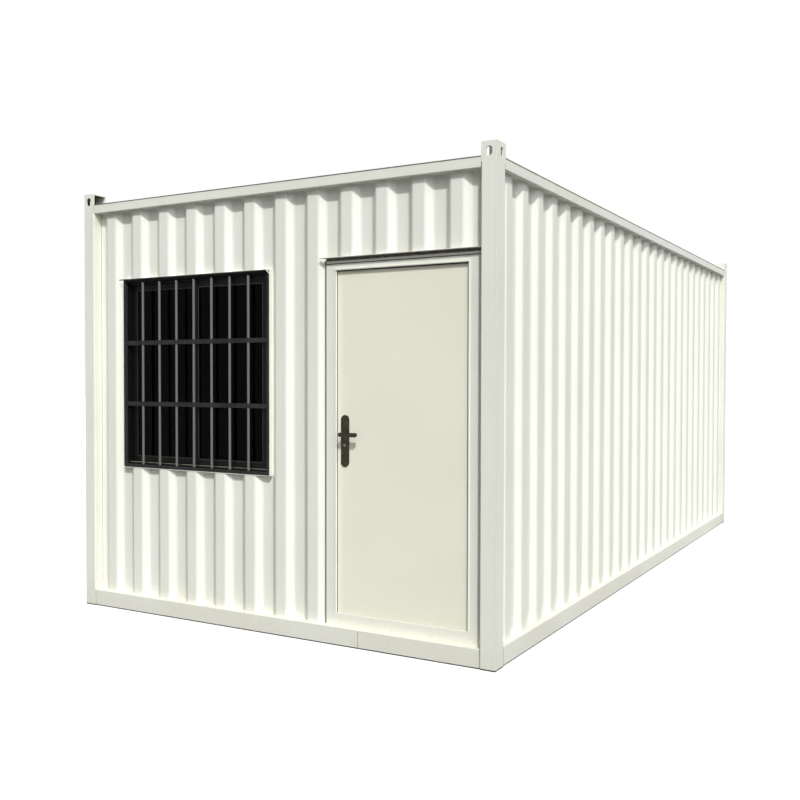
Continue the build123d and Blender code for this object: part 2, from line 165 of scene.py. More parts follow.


# sprayed steel: slow tone changes, dust near the ground, faint rain streaks, a little orange peel, a dark band at
# the very foot as painted contact shadow, painted shade inside hollows and painted shade on rounded outer corners
def paintedSteel(name, values):
    spray = sprayValues
    look = Look(name)
    cloud = look.noise(spray["cloud"])
    streak = look.noise(spray["streak"], 2.0, spray["streakStretch"])
    grit = look.noise(spray["grit"], 4.0)
    dustReach = look.ramp(look.height, values["dustTop"], 0.0)
    dusty = dustReach * (grit * spray["dustGrit"] + cloud * spray["dustCloud"])
    dust = look.ramp(dusty, *spray["dustRamp"]) * values["dust"]
    stain = look.ramp(streak, *spray["streakRamp"]) * values["streak"]
    colour = look.shades(look.ramp(cloud, *spray["toneRamp"]), values)
    colour = look.mix(stain, colour, tone(*values["stain"]))
    colour = look.mix(dust, colour, tone(*values["dustColour"]))
    # painted shade: the inside of a fitting turns dark grey, darker on the left fittings than on the right
    if "hollow" in values:
        side = look.node("ShaderNodeSeparateXYZ", {}, {0: look.place}, "X")
        right = look.ramp(side, -spray["sideSoft"], spray["sideSoft"])
        hollowShade = look.mix(right, tone(*values["hollowColour"]), tone(*values["hollowPale"]))
        colour = look.mix(hollowMask(look, values["hollow"]), colour, hollowShade)
    # painted shade along the rounded outer corner, dimming its highlight
    if "bendWear" in values:
        bend = hollowMask(look, dict(zip("XY", zip(values["bendFrom"], spray["farCorner"]))))
        colour = look.mix(bend * (spray["bendShadeLevel"] + grit * spray["bendShadeGrit"]), colour, tone(*values["bendWear"]))
    # painted contact shadow: the paint darkens to a dark band along the bottom centimetre
    footShadow = look.ramp(look.height + grit * spray["footShadowGrit"], *spray["footShadowRamp"])
    colour = look.mix(footShadow, colour, tone(*values["footShadow"]))
    ripple = look.bump(look.noise(spray["ripple"], 1.0), spray["rippleStrength"], values["ripple"])
    peel = look.bump(look.noise(spray["peel"], 2.0), spray["peelStrength"], spray["peelDeep"], ripple)
    rough = values["rough"] + look.ramp(cloud, *spray["roughRamp"]) * spray["roughCloud"] + dust * spray["roughDust"]
    return look.set(Base_Color=colour, Roughness=rough, Normal=peel)


# each paint's colour for the very foot is a painted contact shadow
wallPaint = {
    "colour": (241, 242, 232), "second": (237, 238, 227), "stain": (222, 220, 205),
    "dustColour": (206, 199, 176), "dustTop": 0.42, "dust": 0.22, "streak": 0.10,
    "footShadow": (40, 39, 36), "ripple": 0.004, "rough": 0.42,
}
frameSteelPaint = {
    "colour": (241, 242, 231), "second": (237, 238, 226), "stain": (216, 212, 194),
    "dustColour": (200, 193, 170), "dustTop": 0.34, "dust": 0.26, "streak": 0.12,
    "footShadow": (30, 29, 27), "ripple": 0.002, "rough": 0.40,
}
leafPaint = {
    "colour": (246, 245, 228), "second": (243, 242, 223), "stain": (232, 228, 207),
    "dustColour": (208, 200, 174), "dustTop": 0.50, "dust": 0.15, "streak": 0.05,
    "footShadow": (60, 58, 50), "ripple": 0.002, "rough": 0.36,
}
# painted shade on the posts' rounded outer corner, dimming its highlight, within this distance of the corner
bendWide = 0.0075
postPaint = dict(frameSteelPaint)
postPaint["bendFrom"] = (cadBox[1][0] - bendWide, cadBox[1][1] - bendWide)
postPaint["bendWear"] = (210, 210, 199)
fittingPaint = dict(postPaint)
# painted shade for the inside of the corner fittings, dark on the left and lighter on the right
fittingPaint["hollow"] = {"X": (1.4112, 1.4960), "Y": (2.8995, 2.9960), "Z": (2.6385, 2.7360)}
fittingPaint["hollowColour"] = (58, 56, 50)
fittingPaint["hollowPale"] = (200, 199, 190)
wallLook = paintedSteel("wallPaint", wallPaint)
fittingLook = paintedSteel("fittingPaint", fittingPaint)
steelLook = paintedSteel("frameSteelPaint", frameSteelPaint)
postLook = paintedSteel("postPaint", postPaint)
leafLook = paintedSteel("leafPaint", leafPaint)

# grille enamel with dust rubbed onto it, its round bars painted lighter as a painted highlight and its top rim
# painted near black as a painted shadow
grilleValues = {
    "colour": (44, 45, 44), "second": (56, 57, 55), "dust": (88, 87, 82), "rough": 0.42,
    "barHighlight": (124, 125, 122), "rim": 0.020, "clear": 0.003, "flatHalf": 0.015, "topShade": (4, 4, 4),
    "barSoft": 0.001, "flatSoft": 0.0005, "topShadeRamp": (-0.001, 0.004), "topShadeRub": 0.006, "specular": 0.05,
}
grilleLow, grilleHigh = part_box("window_grille")
rimAcross, rimUp = (
    (grilleLow[axis] + grilleValues["rim"], grilleHigh[axis] - grilleValues["rim"]) for axis in (0, 2)
)
barSpan = (rimAcross[0] + grilleValues["clear"], rimAcross[1] - grilleValues["clear"])
barReach = (rimUp[0] + grilleValues["clear"], rimUp[1] - grilleValues["clear"])
flatLevels = [rimUp[0] + (rimUp[1] - rimUp[0]) * step / 3 for step in (1, 2)]
grilleLook = Look("grillePaint")
rub = grilleLook.noise(55.0, 5.0)
flake = grilleLook.noise(7.0, 3.0, (1.0, 1.0, 0.4))
enamel = grilleLook.shades(grilleLook.ramp(flake, 0.3, 0.7), grilleValues)
dusty = grilleLook.ramp(rub, 0.58, 0.8) * 0.35
across = grilleLook.node("ShaderNodeSeparateXYZ", {}, {0: grilleLook.place}, "X")
# painted highlight: the bars between rim and flats get a lighter grey
barHighlightMask = 1.0
for value, (low, high) in ((across, barSpan), (grilleLook.height, barReach)):
    barHighlightMask = grilleLook.between(barHighlightMask, value, low, high, grilleValues["barSoft"])
for level in flatLevels:
    away = grilleLook.node("ShaderNodeMath", {"operation": "ABSOLUTE"}, {0: grilleLook.height - level})
    half, soft = grilleValues["flatHalf"], grilleValues["flatSoft"]
    barHighlightMask = barHighlightMask * grilleLook.ramp(away, half - soft, half + soft)
enamel = grilleLook.mix(barHighlightMask * (0.65 + rub * 0.4), enamel, tone(*grilleValues["barHighlight"]))
# painted shadow: the top of the grille rim darkens to near black
topShadeFrom, topShadeTo = (rimUp[1] + step for step in grilleValues["topShadeRamp"])
topShade = grilleLook.ramp(grilleLook.height + rub * grilleValues["topShadeRub"], topShadeFrom, topShadeTo)
enamel = grilleLook.mix(dusty, enamel, tone(*grilleValues["dust"]))
grilleLook.set(
    Base_Color=grilleLook.mix(topShade, enamel, tone(*grilleValues["topShade"])),
    Roughness=grilleValues["rough"] + dusty * 0.5,
    Specular_IOR_Level=grilleValues["specular"],
    Normal=grilleLook.bump(rub, 0.12, 0.0008),
)

# dark anodised window sections with a fine drawn grain along them
alloyValues = {"colour": (11, 12, 11), "second": (17, 18, 16), "rough": 0.40, "specular": 0.1}
alloyLook = Look("windowAlloy")
drawn = alloyLook.noise(160.0, 2.0, (1.0, 1.0, 0.02))
smear = alloyLook.noise(6.0)
alloyLook.set(
    Base_Color=alloyLook.shades(alloyLook.ramp(smear, 0.3, 0.7), alloyValues),
    Metallic=0.0,
    Specular_IOR_Level=alloyValues["specular"],
    Roughness=alloyValues["rough"] + drawn * 0.12,
    Normal=alloyLook.bump(drawn, 0.05, 0.0004),
)

# dark tinted glass with wiped dust low down
glassValues = {"tint": (44, 54, 47), "dust": (96, 100, 90), "rough": 0.02, "ior": 1.1}
glassLook = Look("windowGlass")
wipe = glassLook.noise(5.0, 4.0, (1.0, 1.0, 0.5))
film = glassLook.ramp(wipe, 0.50, 0.82) * glassLook.ramp(glassLook.height, 1.9, 0.95) * 0.06
glassLook.set(
    Base_Color=glassLook.mix(film, tone(*glassValues["tint"]), tone(*glassValues["dust"])),
    Roughness=glassValues["rough"] + film * 1.5,
    Transmission_Weight=1.0,
    IOR=glassValues["ior"],
    Normal=glassLook.bump(glassLook.noise(3.0, 1.0), 0.02, 0.002),
)

# bronze-black lock furniture, worn to the metal a little where hands rub it
bronzeValues = {
    "colour": (40, 36, 24), "second": (56, 51, 36), "bare": (136, 119, 80), "rough": 0.26, "metallic": 0.6,
}
bronzeLook = Look("darkBronze")
hand = bronzeLook.noise(38.0, 4.0)
cast = bronzeLook.noise(420.0, 2.0)
worn = bronzeLook.ramp(hand, 0.62, 0.80) * 0.35
bronzeLook.set(
    Base_Color=bronzeLook.mix(worn, bronzeLook.shades(hand, bronzeValues), tone(*bronzeValues["bare"])),
    Metallic=bronzeValues["metallic"],
    Roughness=bronzeValues["rough"] + cast * 0.10,
    Normal=bronzeLook.bump(cast, 0.08, 0.0003),
)

# plated steel of the key cylinder, the hinges and the screws, also laid on the window's lower track as a painted
# highlight
keySteelAndTrackHighlightValues = {"colour": (126, 123, 114), "second": (92, 89, 80), "rough": 0.32, "metallic": 0.9}
keySteelAndTrackHighlightLook = Look("keySteelAndTrackHighlight")
brushed = keySteelAndTrackHighlightLook.noise(300.0, 2.0, (1.0, 1.0, 0.1))
tarnish = keySteelAndTrackHighlightLook.noise(26.0, 4.0)
keySteelAndTrackHighlightLook.set(
    Base_Color=keySteelAndTrackHighlightLook.shades(keySteelAndTrackHighlightLook.ramp(tarnish, 0.45, 0.75), keySteelAndTrackHighlightValues),
    Metallic=keySteelAndTrackHighlightValues["metallic"],
    Roughness=keySteelAndTrackHighlightValues["rough"] + brushed * 0.14,
    Normal=keySteelAndTrackHighlightLook.bump(brushed, 0.05, 0.0002),
)

# inside boards: smooth white sheet with faint scuffs
boardValues = {"colour": (236, 236, 230), "second": (229, 229, 222), "scuff": (196, 194, 184), "rough": 0.5}
boardLook = Look("boardWhite")
mottle = boardLook.noise(2.2)
rubbed = boardLook.ramp(boardLook.noise(24.0, 5.0), 0.64, 0.8)
scuff = rubbed * boardLook.ramp(boardLook.height, 1.1, 0.12) * 0.35
boardLook.set(
    Base_Color=boardLook.mix(scuff, boardLook.shades(mottle, boardValues), tone(*boardValues["scuff"])),
    Roughness=boardValues["rough"] + scuff * 0.3,
    Normal=boardLook.bump(boardLook.noise(120.0, 3.0), 0.04, 0.0006),
)

# floor boards: long grain along the room with darker lines
woodValues = {"colour": (158, 124, 88), "second": (124, 92, 62), "line": (86, 62, 42), "rough": 0.48}
woodLook = Look("floorWood")
grain = woodLook.noise(14.0, 6.0, (1.0, 0.07, 1.0))
pore = woodLook.noise(160.0, 3.0, (1.0, 0.04, 1.0))
woodLook.set(
    Base_Color=woodLook.mix(
        woodLook.ramp(pore, 0.58, 0.75) * 0.5,
        woodLook.shades(grain, woodValues),
        tone(*woodValues["line"]),
    ),
    Roughness=woodValues["rough"] + pore * 0.2,
    Normal=woodLook.bump(pore, 0.15, 0.0008),
)

# primer under the floor
primerValues = {"colour": (92, 66, 56), "second": (112, 84, 70), "rough": 0.65}
primerLook = Look("floorPrimer")
coat = primerLook.noise(11.0, 5.0)
primerLook.set(
    Base_Color=primerLook.shades(coat, primerValues),
    Roughness=primerValues["rough"] + coat * 0.15,
    Normal=primerLook.bump(primerLook.noise(180.0), 0.1, 0.0008),
)

# black rubber for the seals, also laid in the key slots as painted shade
rubberAndSlotShadeValues = {"colour": (17, 17, 16), "second": (33, 32, 30), "rough": 0.62}
rubberAndSlotShadeLook = Look("sealRubberAndSlotShade")
bloom = rubberAndSlotShadeLook.noise(70.0, 4.0)
rubberAndSlotShadeLook.set(
    Base_Color=rubberAndSlotShadeLook.shades(bloom, rubberAndSlotShadeValues),
    Roughness=rubberAndSlotShadeValues["rough"] + bloom * 0.2,
    Normal=rubberAndSlotShadeLook.bump(bloom, 0.1, 0.0005),
)

# grey roof sealant, smeared by hand; the same grey is also laid beside the door frame as painted shade
sealantAndGapShadeValues = {"colour": (120, 118, 108), "second": (92, 90, 82), "rough": 0.6}
sealantAndGapShadeLook = Look("roofSealant")
smudge = sealantAndGapShadeLook.noise(34.0, 4.0)
sealantAndGapShadeLook.set(
    Base_Color=sealantAndGapShadeLook.shades(smudge, sealantAndGapShadeValues),
    Roughness=sealantAndGapShadeValues["rough"] + smudge * 0.2,
    Normal=sealantAndGapShadeLook.bump(smudge, 0.3, 0.002),
)

# paint over the welds, grey with what sticks to them; also laid on the door flashing as painted shade in the recess
# over the door
weldAndRecessShadeValues = {"colour": (172, 169, 155), "second": (118, 114, 100), "rough": 0.5}
weldAndRecessShadeLook = Look("weldPaintAndRecessShade")
grime = weldAndRecessShadeLook.noise(60.0, 5.0)
weldAndRecessShadeLook.set(
    Base_Color=weldAndRecessShadeLook.shades(weldAndRecessShadeLook.ramp(grime, 0.3, 0.7), weldAndRecessShadeValues),
    Roughness=weldAndRecessShadeValues["rough"] + grime * 0.2,
    Normal=weldAndRecessShadeLook.bump(grime, 0.25, 0.001),
)
print("materials made")

# finishes of the CAD nodes
nodeLooks = {
    wallLook: [
        "right_wall", "left_wall", "back_wall", "front_wall_left", "front_wall_under_window",
        "front_wall_over_window", "front_wall_between", "front_wall_over_door", "roof_sheet",
    ],
    postLook: [name for name in nodes if name.startswith("post_")],
    steelLook: [name for name in nodes if name.startswith(("bottom_rail", "top_rail", "door_jamb"))]
    + ["door_head", "door_sill", "window_surround"],
    fittingLook: [name for name in nodes if name.startswith("corner_fitting")],
    # painted shade: the flashing in the recess over the door takes the darker weld grey
    weldAndRecessShadeLook: ["door_flashing"],
    leafLook: ["door_leaf"],
    grilleLook: ["window_grille"],
    alloyLook: ["window_frame", "window_sashes"],
    glassLook: ["window_glass"],
    bronzeLook: ["lock_plates", "lever_handles"],
    keySteelAndTrackHighlightLook: ["key_cylinder", "hinge_frame_leaves", "hinge_door_leaves"],
    boardLook: ["wall_lining", "ceiling"],
    woodLook: ["floor_deck"],
    primerLook: ["floor_joists"],
}
for look, names in nodeLooks.items():
    for name in names:
        nodes[name].data.materials.clear()
        nodes[name].data.materials.append(look.material)

# shades a welded node smooth, but for its sharp edges
finishValues = {"sharp": radians(40), "weld": 0.00002, "easeSteps": 2, "flatWeight": 100}
smooth = bpy.data.node_groups.new("smoothRounds", "GeometryNodeTree")
smooth.interface.new_socket("Geometry", in_out="INPUT", socket_type="NodeSocketGeometry")
smooth.interface.new_socket("Geometry", in_out="OUTPUT", socket_type="NodeSocketGeometry")
start = smooth.nodes.new("NodeGroupInput")
faces = smooth.nodes.new("GeometryNodeSetShadeSmooth")
angle = smooth.nodes.new("GeometryNodeInputMeshEdgeAngle")
sharp = smooth.nodes.new("FunctionNodeCompare")
sharp.inputs["B"].default_value = finishValues["sharp"]
edges = smooth.nodes.new("GeometryNodeSetShadeSmooth")
edges.domain = "EDGE"
edges.inputs["Shade Smooth"].default_value = False
end = smooth.nodes.new("NodeGroupOutput")
smooth.links.new(start.outputs[0], faces.inputs["Geometry"])
smooth.links.new(faces.outputs[0], edges.inputs["Geometry"])
smooth.links.new(angle.outputs["Unsigned Angle"], sharp.inputs["A"])
smooth.links.new(sharp.outputs[0], edges.inputs["Selection"])
smooth.links.new(edges.outputs[0], end.inputs[0])


def weldSeams(node):
    node.modifiers.new("weld", "WELD").merge_threshold = finishValues["weld"]


def shadeRounds(piece):
    piece.modifiers.new("smooth", "NODES").node_group = smooth
    flats = piece.modifiers.new("flats", "WEIGHTED_NORMAL")
    flats.keep_sharp = True
    flats.weight = finishValues["flatWeight"]


# edges that a brake or a grinder leaves rounded, by node: width in metres
easedEdges = {"lever_handles": 0.0035, "lock_plates": 0.0012, "door_leaf": 0.002, "window_grille": 0.0015}
for name in nodes:
    if "rail" in name:
        easedEdges[name] = 0.003
    if name.startswith("corner_fitting"):
        easedEdges[name] = 0.0025
    if name.startswith(("door_jamb", "door_head", "door_sill")):
        easedEdges[name] = 0.0018
    if name.startswith(("window_frame", "window_sashes")):
        easedEdges[name] = 0.0015
for name, ease in easedEdges.items():
    weldSeams(nodes[name])
    bevel = nodes[name].modifiers.new("ease", "BEVEL")
    bevel.width = ease
    bevel.segments = finishValues["easeSteps"]
    bevel.limit_method = "ANGLE"
    bevel.angle_limit = finishValues["sharp"]
roundNodes = ["key_cylinder", "hinge_frame_leaves", "hinge_door_leaves"]
roundNodes += [name for name in nodes if name.startswith("post_")]
for name in roundNodes:
    weldSeams(nodes[name])
for name in list(easedEdges) + roundNodes:
    shadeRounds(nodes[name])
print("CAD nodes finished")


def makePiece(name, bm, look, body):
    bmesh.ops.recalc_face_normals(bm, faces=bm.faces)
    mesh = bpy.data.meshes.new(name)
    bm.to_mesh(mesh)
    bm.free()
    mesh.materials.append(look.material)
    piece = bpy.data.objects.new(name, mesh)
    bpy.context.scene.collection.objects.link(piece)
    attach(piece, body)
    return piece


def vertsOf(geom):
    return [item for item in geom if isinstance(item, bmesh.types.BMVert)]


# a bar between two corners with all its edges eased
def softBar(bm, low, high, ease):
    low, high = Vector(low), Vector(high)
    size = high - low
    place = Matrix.Translation((low + high) / 2) @ Matrix.Diagonal((*size, 1.0))
    made = bmesh.ops.create_cube(bm, size=1.0, matrix=place)
    edges = list({edge for vert in made["verts"] for edge in vert.link_edges})
    bmesh.ops.bevel(bm, geom=edges, offset=ease, segments=2, profile=0.5, affect="EDGES", material=-1)


# four bars round an opening that faces -Y, the stiles between the other two
def softFrame(bm, low, high, face, ease):
    left, front, bottom = low
    right, back, top = high
    softBar(bm, (left, front, bottom), (right, back, bottom + face), ease)
    softBar(bm, (left, front, top - face), (right, back, top), ease)
    softBar(bm, (left, front, bottom + face), (left + face, back, top - face), ease)
    softBar(bm, (right - face, front, bottom + face), (right, back, top - face), ease)


beadShape = {"sides": 8, "leastSteps": 4, "full": 1.0, "thin": 0.82, "uneven": 0.06, "unevenPace": 1.7}


# a weld bead: a ring drawn out along the seam, swelling and shrinking at each ripple
def rippledBead(bm, start, end, radius, pitch):
    start, end = Vector(start), Vector(end)
    along = (end - start).normalized()
    steps = max(beadShape["leastSteps"], int((end - start).length / pitch) * 2)
    turn = along.to_track_quat("Z", "Y").to_matrix().to_4x4()
    place = Matrix.Translation(start) @ turn
    ring = bmesh.ops.create_circle(bm, segments=beadShape["sides"], radius=radius, cap_ends=False, matrix=place)
    edges = list({edge for vert in ring["verts"] for edge in vert.link_edges})
    move = (end - start) / steps
    middle = start.copy()
    wide = 1.0
    for step in range(steps):
        drawn = bmesh.ops.extrude_edge_only(bm, edges=edges)["geom"]
        verts = vertsOf(drawn)
        lines = [item for item in drawn if isinstance(item, bmesh.types.BMEdge)]
        edges = [line for line in lines if all(vert in verts for vert in line.verts)]
        bmesh.ops.translate(bm, verts=verts, vec=move)
        middle += move
        swell = beadShape["full"] if step % 2 else beadShape["thin"]
        swell += beadShape["uneven"] * sin(step * beadShape["unevenPace"])
        grow = swell / wide
        wide = swell
        bmesh.ops.scale(bm, verts=verts, vec=(grow, grow, grow), space=Matrix.Translation(-middle))
    bmesh.ops.holes_fill(bm, edges=bm.edges, sides=beadShape["sides"])


# a turned piece: a profile of radius and height spun round +Z, then set in place
def turned(bm, profile, place, steps=20):
    before = set(bm.verts)
    verts = [bm.verts.new((radius, 0.0, level)) for radius, level in profile]
    edges = [bm.edges.new(pair) for pair in zip(verts, verts[1:])]
    bmesh.ops.spin(
        bm, geom=verts + edges, cent=(0, 0, 0), axis=(0, 0, 1), angle=2 * pi, steps=steps, use_merge=True,
    )
    made = [vert for vert in bm.verts if vert not in before]
    bmesh.ops.remove_doubles(bm, verts=made, dist=0.000001)
    made = [vert for vert in bm.verts if vert not in before]
    bmesh.ops.transform(bm, verts=made, matrix=place)


# sets a part made at the origin in its place in a larger piece
def setIn(bm, part, place):
    bmesh.ops.transform(part, verts=part.verts, matrix=place)
    mesh = bpy.data.meshes.new("part")
    part.to_mesh(mesh)
    part.free()
    bm.from_mesh(mesh)
    bpy.data.meshes.remove(mesh)


screwShape = {
    "dome": [(0.0, 0.0018), (0.0018, 0.0017), (0.0034, 0.0011), (0.0043, 0.0003), (0.0043, -0.0004)],
    "steps": 16, "slotHalf": 0.0005, "firstTurn": 15, "turn": 47,
}


# a slotted dome head: half a turned dome with a flat cut beside the slot, and its mirror image
def screwHead(bm, place):
    part = bmesh.new()
    turned(part, screwShape["dome"], Matrix.Identity(4), screwShape["steps"])
    geom = part.verts[:] + part.edges[:] + part.faces[:]
    cut = (screwShape["slotHalf"], 0, 0)
    bmesh.ops.bisect_plane(part, geom=geom, plane_co=cut, plane_no=(-1, 0, 0), clear_outer=True)
    bmesh.ops.holes_fill(part, edges=part.edges, sides=0)
    bmesh.ops.mirror(part, geom=part.verts[:] + part.edges[:] + part.faces[:], axis="X", merge_dist=0.0)
    setIn(bm, part, place)


# wall sheets with rolled bends, where the CAD ones have a flat on each bend
sheetValues = {
    "gauge": 0.002, "run": 0.038, "crest": 0.078, "valley": 0.077, "margin": 0.040,
    "frontShift": -0.016, "sideShift": 0.018, "bend": 0.010, "bendSteps": 4, "bendLeast": radians(10),
    "merge": 0.00001,
}
sideLow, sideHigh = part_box("right_wall")
crestDeep = cadBox[1][0] - sideHigh[0]
valleyDeep = cadBox[1][0] - sideLow[0] - sheetValues["gauge"]


# a sheet as wide as the span, its depth counted along +Y from the outer face of the house
def foldedSheet(span, shift):
    run, crest, valley = (sheetValues[key] for key in ("run", "crest", "valley"))
    pitch = 2 * run + crest + valley
    count = int((span - 2 * sheetValues["margin"] + valley) // pitch)
    start = (valley - count * pitch) / 2 + shift
    bm = bmesh.new()
    corners = [
        (0.0, valleyDeep), (run, crestDeep), (run + crest, crestDeep),
        (2 * run + crest, valleyDeep), (pitch, valleyDeep),
    ]
    verts = [bm.verts.new((start + along, deep, sideLow[2])) for along, deep in corners]
    wave = verts + [bm.edges.new(pair) for pair in zip(verts, verts[1:])]
    for step in range(1, count):
        copy = bmesh.ops.duplicate(bm, geom=wave)["geom"]
        bmesh.ops.translate(bm, verts=vertsOf(copy), vec=(step * pitch, 0.0, 0.0))
    bmesh.ops.remove_doubles(bm, verts=bm.verts, dist=sheetValues["merge"])
    first = min(bm.verts, key=lambda vert: vert.co.x)
    last = max(bm.verts, key=lambda vert: vert.co.x)
    last.co.x = span / 2
    edgeVert = bmesh.ops.extrude_vert_indiv(bm, verts=[first])["verts"][0]
    edgeVert.co.x = -span / 2
    risen = bmesh.ops.extrude_edge_only(bm, edges=bm.edges[:])["geom"]
    bmesh.ops.translate(bm, verts=vertsOf(risen), vec=(0.0, 0.0, sideHigh[2] - sideLow[2]))
    folds = [edge for edge in bm.edges if len(edge.link_faces) == 2]
    bends = [edge for edge in folds if edge.calc_face_angle() > sheetValues["bendLeast"]]
    bmesh.ops.bevel(
        bm, geom=bends, offset=sheetValues["bend"], segments=sheetValues["bendSteps"],
        profile=0.5, affect="EDGES", material=-1,
    )
    if sum(face.normal.y for face in bm.faces) > 0:
        bmesh.ops.reverse_faces(bm, faces=bm.faces)
    return bm


# thickens the sheet inwards, sets it in its wall and puts it in the node's stead
def hangSheet(name, bm, node, place):
    bmesh.ops.solidify(bm, geom=bm.faces[:], thickness=sheetValues["gauge"])
    bmesh.ops.transform(bm, verts=bm.verts, matrix=place)
    piece = makePiece(name, bm, wallLook, "house")
    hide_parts(node)
    shadeRounds(piece)


houseX, houseY = cadBox[1][0], cadBox[1][1]
sideSpan = sideHigh[1] - sideLow[1]
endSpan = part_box("back_wall")[1][0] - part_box("back_wall")[0][0]
quarter = Matrix.Rotation(radians(90), 4, "Z")
flipDepth = Matrix.Diagonal((1.0, -1.0, 1.0, 1.0))
for name, node, span, shift, place in (
    ("rightSheet", "right_wall", sideSpan, "sideShift", Matrix.Translation((houseX, 0, 0)) @ quarter),
    ("leftSheet", "left_wall", sideSpan, "sideShift", Matrix.Translation((-houseX, 0, 0)) @ quarter @ flipDepth),
    ("backSheet", "back_wall", endSpan, "frontShift", Matrix.Translation((0, houseY, 0)) @ flipDepth),
):
    hangSheet(name, foldedSheet(span, sheetValues[shift]), node, place)
for name, node in (
    ("frontSheetLeft", "front_wall_left"), ("frontSheetUnderWindow", "front_wall_under_window"),
    ("frontSheetOverWindow", "front_wall_over_window"), ("frontSheetBetween", "front_wall_between"),
    ("frontSheetOverDoor", "front_wall_over_door"),
):
    bm = foldedSheet(endSpan, sheetValues["frontShift"])
    low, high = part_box(node)
    for axis in (0, 2):
        for corner, way in ((low, -1.0), (high, 1.0)):
            plane = Vector((0, 0, 0))
            plane[axis] = way
            geom = bm.verts[:] + bm.edges[:] + bm.faces[:]
            bmesh.ops.bisect_plane(
                bm, geom=geom, dist=sheetValues["merge"], plane_co=corner, plane_no=plane, clear_outer=True,
            )
    hangSheet(name, bm, node, Matrix.Translation((0, -houseY, 0)))
print("wall sheets made")

# welds at the rail ends, where dirt settles, and the butt joint in the front bottom rail
weldValues = {
    "radius": 0.0024, "pitch": 0.006, "footUp": 0.006,
    "jointX": 0.660, "jointIn": 0.0012, "jointUp": 0.008, "jointDown": 0.004,
}
weldSize = (weldValues["radius"], weldValues["pitch"])
bm = bmesh.new()
for level in ("bottom", "top"):
    for side in ("front", "back", "left", "right"):
        low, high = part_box(f"{level}_rail_{side}")
        across = 1 if side in ("front", "back") else 0
        face = low[across] if side in ("front", "left") else high[across]
        for end in (low[1 - across], high[1 - across]):
            foot = (end, face) if across else (face, end)
            rippledBead(bm, (*foot, low[2] + weldValues["footUp"]), (*foot, high[2]), *weldSize)
low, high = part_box("bottom_rail_front")
joint = (weldValues["jointX"], low[1] + weldValues["jointIn"])
jointFoot, jointTop = low[2] + weldValues["jointUp"], high[2] - weldValues["jointDown"]
rippledBead(bm, (*joint, jointFoot), (*joint, jointTop), *weldSize)
makePiece("railWelds", bm, weldAndRecessShadeLook, "house")

# sealant along the roof sheet's edge
sealantShape = {"high": 0.006, "proud": 0.0012, "ease": 0.0006}
bm = bmesh.new()
for side in ("front", "back", "left", "right"):
    low, high = (Vector(corner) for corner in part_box(f"top_rail_{side}"))
    lineLow, lineHigh = low.copy(), high.copy()
    lineLow.z = high.z - sealantShape["high"] / 2
    lineHigh.z = high.z + sealantShape["high"] / 2
    across = 1 if side in ("front", "back") else 0
    face = low[across] if side in ("front", "left") else high[across]
    lineLow[across] = face - sealantShape["proud"]
    lineHigh[across] = face + sealantShape["proud"]
    softBar(bm, lineLow, lineHigh, sealantShape["ease"])
makePiece("roofSealant", bm, sealantAndGapShadeLook, "house")

# rubber seal on the door stop, showing a little below the head and at the hinge side
sealValues = {
    "thick": 0.0035, "face": 0.012, "lap": 0.012, "stopGap": 0.005, "ease": 0.001,
    "showsLeft": 0.0015, "showsRight": 0.008, "showsFoot": -0.002, "showsHead": 0.006,
}
leafLow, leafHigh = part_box("door_leaf")
hidden = sealValues["lap"] - sealValues["face"]
sealBack = leafLow[1] - sealValues["stopGap"] + sealValues["thick"]
sealLeft, sealFoot = leafLow[0] + hidden + sealValues["showsLeft"], leafLow[2] + hidden + sealValues["showsFoot"]
sealRight, sealHead = leafHigh[0] - hidden - sealValues["showsRight"], leafHigh[2] - hidden - sealValues["showsHead"]
bm = bmesh.new()
softFrame(
    bm, (sealLeft, leafLow[1] - sealValues["stopGap"], sealFoot), (sealRight, sealBack, sealHead),
    sealValues["face"], sealValues["ease"],
)
makePiece("doorSeal", bm, rubberAndSlotShadeLook, "house")

# a joint line across the head of the door frame, and a drip strip over the window
lineValues = {
    "headDown": 0.019, "high": 0.005, "proud": 0.0008, "ease": 0.0002, "ends": 0.004,
    "dripTail": 0.034, "dripProud": 0.0014, "dripEnd": 0.030, "dripHigh": 0.006,
    "dripBack": 0.0004, "dripUp": 0.0008,
}
headLow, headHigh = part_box("door_head")
windowLow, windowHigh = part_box("window_surround")
bm = bmesh.new()
lineZ = headHigh[2] - lineValues["headDown"]
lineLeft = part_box("door_jamb_left")[0][0] + lineValues["ends"]
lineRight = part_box("door_jamb_right")[1][0] - lineValues["ends"]
softBar(
    bm, (lineLeft, headLow[1] - lineValues["proud"], lineZ),
    (lineRight, headLow[1] + lineValues["proud"], lineZ + lineValues["high"]), lineValues["ease"],
)
dripFront, dripBack = windowLow[1] - lineValues["dripProud"], windowLow[1] + lineValues["dripBack"]
softBar(
    bm, (windowLow[0] - lineValues["dripTail"], dripFront, windowHigh[2] - lineValues["dripHigh"]),
    (windowHigh[0] - lineValues["dripEnd"], dripBack, windowHigh[2] + lineValues["dripUp"]), lineValues["ease"] * 2,
)
makePiece("jointLines", bm, rubberAndSlotShadeLook, "house")

# a rain lip on the strip over the door
lipValues = {"reach": 0.016, "thick": 0.003, "tail": 0.002, "ease": 0.001, "down": 0.0015, "back": 0.001}
flashLow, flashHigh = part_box("door_flashing")
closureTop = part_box("front_wall_over_door")[0][2]
lipFoot = closureTop - lipValues["down"]
bm = bmesh.new()
softBar(
    bm, (flashLow[0] + lipValues["tail"], flashLow[1] - lipValues["reach"], lipFoot),
    (flashHigh[0] - lipValues["tail"], flashLow[1] + lipValues["back"], lipFoot + lipValues["thick"]),
    lipValues["ease"],
)
makePiece("rainLip", bm, wallLook, "house")

